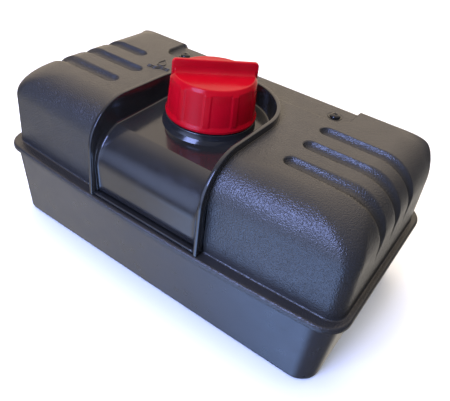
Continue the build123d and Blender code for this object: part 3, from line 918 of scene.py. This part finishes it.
def cap_bump(angles, z):
    """Height of the cap's ribs, faded out at the shoulder and the rim."""
    step = 2 * math.pi / RIB_COUNT
    middle = math.radians(BAR_TURN + RIB_TURN / 2)
    away = np.abs((angles - middle + step / 2) % step - step / 2)
    across = 1 - smooth_step(np.degrees(away), RIB_TURN / 2 - RIB_SOFTNESS, RIB_TURN / 2 + RIB_SOFTNESS)
    start = smooth_step(z, RIB_FOOT, RIB_FOOT + RIB_FADE)
    end = 1 - smooth_step(z, CAP_SHOULDER_Z - RIB_END_FADE, CAP_SHOULDER_Z)
    return RIB_HEIGHT * across * start * end


def build_cap():
    """The red screw cap: bore, flared rim, ribbed skirt, chamfered shoulder and flat top."""
    foot, rim = CAP_FOOT_Z, CAP_RIM
    profile = [(0.0, CAP_CEILING), (CEILING_RING, CAP_CEILING), (CAP_BORE, CAP_CEILING)]
    profile += [(CAP_BORE, foot + BORE_CHAMFER), (CAP_BORE + BORE_CHAMFER, foot)]
    profile += arc_points((rim - RIM_FOOT_EDGE, foot + RIM_FOOT_EDGE), RIM_FOOT_EDGE, 270, 360, 5)
    profile += arc_points((rim - RIM_TOP_EDGE, foot + RIM_TOP_CENTRE), RIM_TOP_EDGE, 0, 60, 5)
    flare_foot = (rim - RIM_TOP_EDGE / 2, foot + RIM_TOP_CENTRE + RIM_TOP_EDGE * 0.87)
    skirt_foot = (CAP_SKIRT_FOOT, foot + SKIRT_RISE)
    profile += line_points(flare_foot, skirt_foot, 4)
    profile += line_points(skirt_foot, (CAP_SHOULDER, CAP_SHOULDER_Z), 46)
    profile += [(CAP_SHOULDER - 0.05, CAP_SHOULDER_Z), (CAP_SHOULDER - 0.4, CAP_SHOULDER_Z + 0.7)]
    top_edge = (CAP_TOP_RADIUS + 0.2, CAP_TOP - 0.3)
    profile += line_points((CAP_SHOULDER - 0.7, CAP_SHOULDER_Z + 1.2), top_edge, 4)
    profile += [(CAP_TOP_RADIUS - 0.1, CAP_TOP - 0.1), (CAP_TOP_RADIUS - 0.9, CAP_TOP)]
    profile += [(radius, CAP_TOP) for radius in np.linspace(CAP_TOP_RADIUS - 2, 0, 10)]

    def bump(angles, z):
        return cap_bump(angles, z) if RIB_FOOT < z < CAP_SHOULDER_Z else np.zeros(len(angles))

    points, faces = lathe(profile, 360, (0.0, NECK_Y), bump)
    cap = mesh_object("cap_moulding", points, faces, "cap", RED)
    hole = arc_points((VENT_X, NECK_Y + VENT_Y), VENT_RADIUS, 0, 350, 36)
    cut_away(cap, extruded_block("cutter", hole, CAP_CEILING - 1, CAP_TOP + 1))
    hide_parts("screw_cap")


def bar_section(along):
    """The bar's section at a place along it: distance across and height, from one foot over to the other."""
    end = BAR_HALF - abs(along)
    past_corner = max(BAR_CORNER - end, 0)
    top = BAR_TOP - BAR_CORNER + math.sqrt(BAR_CORNER**2 - past_corner**2)
    half = BAR_THICKNESS / 2 - (1 - math.sqrt(1 - max(1 - end / BAR_END_EDGE, 0) ** 2)) * BAR_END_EDGE
    chord = math.sqrt(max(CAP_TOP_RADIUS**2 - along**2, 0))
    flare = min(BAR_FLARE, max(chord - half - 0.5, 0.02))
    sink = BAR_SINK if chord > half + 1 else BAR_END_SINK
    section = [(half + flare, CAP_TOP - sink)]
    for turn in np.radians(np.linspace(8, 90, 8)):
        section.append((half + flare * (1 - math.sin(turn)), CAP_TOP + BAR_FLARE * (1 - math.cos(turn))))
    edge = min(BAR_EDGE, half - 0.05)
    section += [(half - 0.1, (CAP_TOP + BAR_FLARE + top) / 2)]
    section += arc_points((half - 0.15 - edge, top - edge), edge, 0, 90, 6)
    return section + [(-across, z) for across, z in section[::-1]]


def build_bar():
    """The finger bar across the cap, flared into the flat top at its foot."""
    middle = np.linspace(-BAR_MIDDLE, BAR_MIDDLE, 40)
    end = np.linspace(BAR_END, BAR_HALF, 16)
    stations = np.concatenate([-end[::-1], middle, end])
    rows = [[(along, across, z) for across, z in bar_section(along)] for along in stations]
    points = np.array([point for row in rows for point in row])
    turn = math.radians(BAR_TURN)
    x = points[:, 0] * math.cos(turn) + points[:, 1] * math.sin(turn)
    y = points[:, 0] * math.sin(turn) - points[:, 1] * math.cos(turn)
    points = np.column_stack([x, y + NECK_Y, points[:, 2]])
    faces = grid_faces(len(rows), len(rows[0])) + end_faces(len(points), len(rows[0]))
    mesh_object("cap_finger_bar", points, faces, "cap", RED)


# ---------------------------------------------------------------- fasteners, seal and emblem


def build_screws():
    """Two domed screws with a shallow cross recess."""
    foot = COVER_TOP - LEDGE_DROP
    shank = (SHANK_RADIUS, foot - SHANK_LENGTH)
    profile = [(0.0, foot - SHANK_LENGTH), shank, (SHANK_RADIUS, foot), (SCREW_RADIUS, foot)]
    dome = SCREW_HEIGHT - HEAD_EDGE
    for turn in np.linspace(0, math.pi / 2, 22):
        profile.append((SCREW_RADIUS * math.cos(turn), foot + HEAD_EDGE + dome * math.sin(turn)))
    for name, side in (("screw_left", -1), ("screw_right", 1)):
        points, faces = lathe(profile, 96, (side * SCREW_X, SCREW_Y))
        x, y = points[:, 0] - side * SCREW_X, points[:, 1] - SCREW_Y
        along = np.abs(x * RECESS_COS + y * RECESS_SIN)
        across = np.abs(y * RECESS_COS - x * RECESS_SIN)
        arm, reach = np.minimum(along, across), np.maximum(along, across)
        recess = (1 - smooth_step(arm, *RECESS_ARM)) * (1 - smooth_step(reach, *RECESS_REACH))
        points[:, 2] -= RECESS_DEPTH * recess * (points[:, 2] > foot + SCREW_HEIGHT / 2)
        screw = mesh_object(name, points, faces, "tank", SCREW)
        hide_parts("ledge_screws")


def build_seam_seal():
    """The rubber seal between tub and cover, which shows as a thin dark line under the lip."""
    centre_y = bow_centre(tub_high[0], tub_low[1], FLANGE_BOW)
    top, bottom = RIM_TOP - 0.05, RIM_TOP - 0.9
    section = ((-0.4, bottom), (-0.7, RIM_TOP - 0.5), (-0.4, top), (SEAM_WIDTH, top), (SEAM_WIDTH, bottom))
    rows = []
    for inset, z in section:
        corner = TUB_CORNER - inset
        half, front, back = tub_high[0] - inset, tub_low[1] + inset, tub_high[1] - inset
        points, _ = plan_loop(half, front, back, corner, corner, centre_y)
        rows.append(np.column_stack([points, np.full(LOOP, z)]))
    faces = grid_faces(len(rows), LOOP, close=True)
    seal = mesh_object("seam_strip", np.concatenate(rows), faces, "tank", RUBBER)
    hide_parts("seam_seal")


def emblem_strokes():
    """Outlines of a water drop and two ripples, and whether each is closed."""
    drop = []
    for turn in np.linspace(0, 2 * math.pi, 64, endpoint=False):
        drop.append((DROP_WIDTH * math.sin(turn) * math.sin(turn / 2) ** 1.6, DROP_HEIGHT * math.cos(turn)))
    strokes = [(drop, True)]
    for offset in RIPPLES:
        across = np.linspace(-RIPPLE_HALF, RIPPLE_HALF, 50)
        strokes.append(([(x, offset + RIPPLE_HEIGHT * math.sin(x / RIPPLE_LENGTH)) for x in across], False))
    return strokes


def build_emblem():
    """A plain raised water drop over two ripples, on the cover's top."""
    turn = math.radians(EMBLEM_TURN)
    for index, (outline, closed) in enumerate(emblem_strokes()):
        path = []
        for across, along in outline:
            x = EMBLEM_X + across * math.cos(turn) - along * math.sin(turn)
            y = EMBLEM_Y + across * math.sin(turn) + along * math.cos(turn)
            path.append((x, y, COVER_TOP + 0.1))
        points, faces = tube(path, EMBLEM_STROKE, 8, closed)
        mesh_object(f"emblem_stroke_{index}", points, faces, "tank", GLOSS)


build_cover()
build_channel_seal()
build_channel()
build_sill()
build_neck()
build_cap()
build_bar()
build_screws()
build_seam_seal()
build_emblem()


# ---------------------------------------------------------------- stage, light and camera


def build_stage():
    """A plain pale floor."""
    half = 4000.0
    corners = [(-half, -half, 0), (half, -half, 0), (half, half, 0), (-half, half, 0)]
    floor = add_mesh("floor", corners, [(0, 1, 2, 3)])
    floor.location.z = -0.0002
    material, _, shader = new_material("floor_pale")
    shader.inputs["Base Color"].default_value = (0.86, 0.86, 0.86, 1)
    shader.inputs["Roughness"].default_value = 0.9
    floor.data.materials.append(material)
    floor.visible_glossy = False


def area_light(name, place, target, size, power, colour, in_gloss=True):
    """A soft rectangular light aimed at a point. Places are metres."""
    light = bpy.data.lights.new(name, "AREA")
    light.shape = "RECTANGLE"
    light.size, light.size_y = size
    light.energy = power
    light.color = colour
    obj = bpy.data.objects.new(name, light)
    bpy.context.scene.collection.objects.link(obj)
    obj.location = place
    obj.rotation_euler = (Vector(target) - Vector(place)).to_track_quat("-Z", "Y").to_euler()
    obj.visible_glossy = in_gloss
    return obj


def glow(tree, toward, start, end, colour):
    """A soft patch of colour on the studio's walls around a direction."""
    place = tree.nodes.new("ShaderNodeTexCoord")
    along = tree.nodes.new("ShaderNodeVectorMath")
    along.operation = "DOT_PRODUCT"
    along.inputs[1].default_value = Vector(toward).normalized()
    tree.links.new(place.outputs["Generated"], along.inputs[0])
    share = add_node(tree, "ShaderNodeMapRange", From_Min=start, From_Max=end)
    share.interpolation_type = "SMOOTHSTEP"
    tree.links.new(along.outputs["Value"], share.inputs["Value"])
    return ramp(tree, share.outputs["Result"], (0.0, 0.0, 0.0), colour, (0.0, 1.0)).outputs["Color"]


def build_world():
    """A studio's walls: warm and bright behind, dim to the sides, cool in front near the horizon."""
    world = bpy.data.worlds.new("studio")
    bpy.context.scene.world = world
    world.use_nodes = True
    tree = world.node_tree
    total = glow(tree, (0.0, 1.0, 0.0), -1.0, -0.9, (0.12, 0.12, 0.13))
    patches = (
        ((-0.6, 0.8, 0.6), 0.3, 0.95, (1.22, 0.98, 0.70)),
        ((0.0, 0.2, 1.0), 0.2, 1.0, (0.42, 0.38, 0.35)),
        ((0.11, 0.78, -0.62), 0.85, 1.0, (0.80, 0.73, 0.63)),
        ((-0.2, -1.0, 0.05), 0.80, 1.0, (1.60, 2.00, 3.30)),
        ((-0.1, -0.7, -0.7), 0.88, 1.0, (1.60, 2.60, 5.20)),
        ((-0.66, -0.42, -0.65), 0.86, 1.0, (0.95, 0.90, 0.84)),
    )
    for toward, start, end, colour in patches:
        add = tree.nodes.new("ShaderNodeMix")
        add.data_type = "RGBA"
        add.blend_type = "ADD"
        add.inputs["Factor"].default_value = 1.0
        tree.links.new(total, add.inputs["A"])
        tree.links.new(glow(tree, toward, start, end, colour), add.inputs["B"])
        total = add.outputs["Result"]
    tree.links.new(total, tree.nodes["Background"].inputs["Color"])


def build_lights():
    """Soft studio light: a broad top light, a cool window high in front and a cool fill low on the right."""
    area_light("top", (-0.3, 0.2, 2.2), (0, 0, 0), (2.4, 2.4), 56, (1.0, 0.95, 0.88), in_gloss=False)
    area_light("window", (-0.20, -1.35, 1.12), (0.08, 0, 0.15), (0.72, 0.90), 42, (0.36, 0.46, 1.0))
    blue = (0.35, 0.60, 1.0)
    area_light("fill", (0.45, -1.3, 0.7), (0.15, -0.1, 0.05), (0.9, 0.7), 9, blue, in_gloss=False)


def build_camera():
    """The camera, at the product shot's three-quarter view from the front right."""
    camera = bpy.data.cameras.new("camera")
    camera.sensor_width = 36.0
    camera.lens = 41.68
    camera.shift_x = -0.0088
    camera.shift_y = -0.0743
    camera.clip_start = 0.01
    obj = bpy.data.objects.new("camera", camera)
    bpy.context.scene.collection.objects.link(obj)
    obj.location = (0.2437, -0.3745, 0.4017)
    obj.rotation_euler = [math.radians(a) for a in (55.535, -6.691, 35.085)]
    bpy.context.scene.camera = obj


build_stage()
build_world()
build_lights()
build_camera()
bpy.context.scene.view_settings.view_transform = "Standard"
